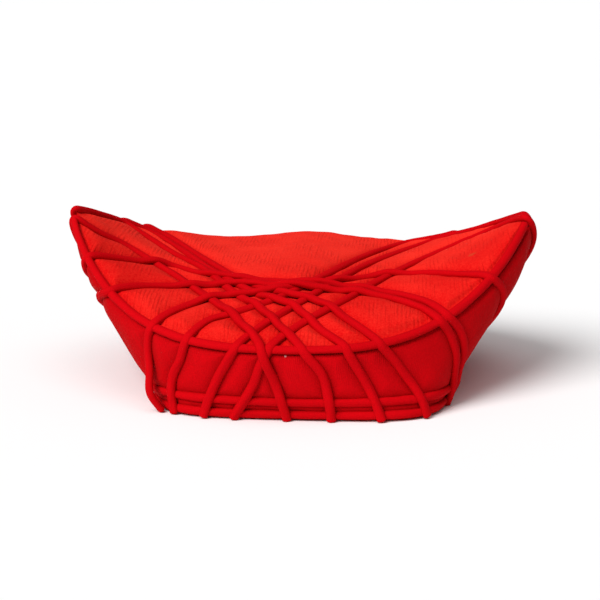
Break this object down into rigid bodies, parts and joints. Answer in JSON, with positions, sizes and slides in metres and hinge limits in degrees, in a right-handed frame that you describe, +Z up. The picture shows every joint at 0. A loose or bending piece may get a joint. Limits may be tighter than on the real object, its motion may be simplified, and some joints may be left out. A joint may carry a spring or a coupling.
{
  "type": "turban",
  "caption": "Stiff boat-shaped ceremonial turban with two upturned tips, a cloth-covered top and wall, and cloth cords wound over it in a crossing lattice.",
  "frame": {"origin": "middle of the length and depth of the whole turban, on the plane that its head rim rests on", "axes": "+X from tip to tip, to the right seen from the front; -Y towards the front; +Z up"},
  "size_m": [0.2901, 0.2406, 0.1042],
  "materials": {
    "crown_cloth": "matt plain-weave cotton, orange red",
    "wall_cloth": "matt plain-weave cotton, deep red",
    "cord_cloth": "matt twisted cotton cord, crimson"
  },
  "bodies": {
    "root": {"side_wall": "wall_cloth", "crown_deck": "crown_cloth", "front_edge_cord": "cord_cloth", "upper_ring_cord": "cord_cloth", "lower_ring_cord": "cord_cloth", "right_strand_1": "cord_cloth", "right_strand_2": "cord_cloth", "right_strand_3": "cord_cloth", "left_strand_1": "cord_cloth", "left_strand_2": "cord_cloth", "left_strand_3": "cord_cloth", "left_strand_4": "cord_cloth", "right_cross_strand": "cord_cloth", "left_cross_strand": "cord_cloth", "front_cross_strand": "cord_cloth"}
  },
  "joints": []
}
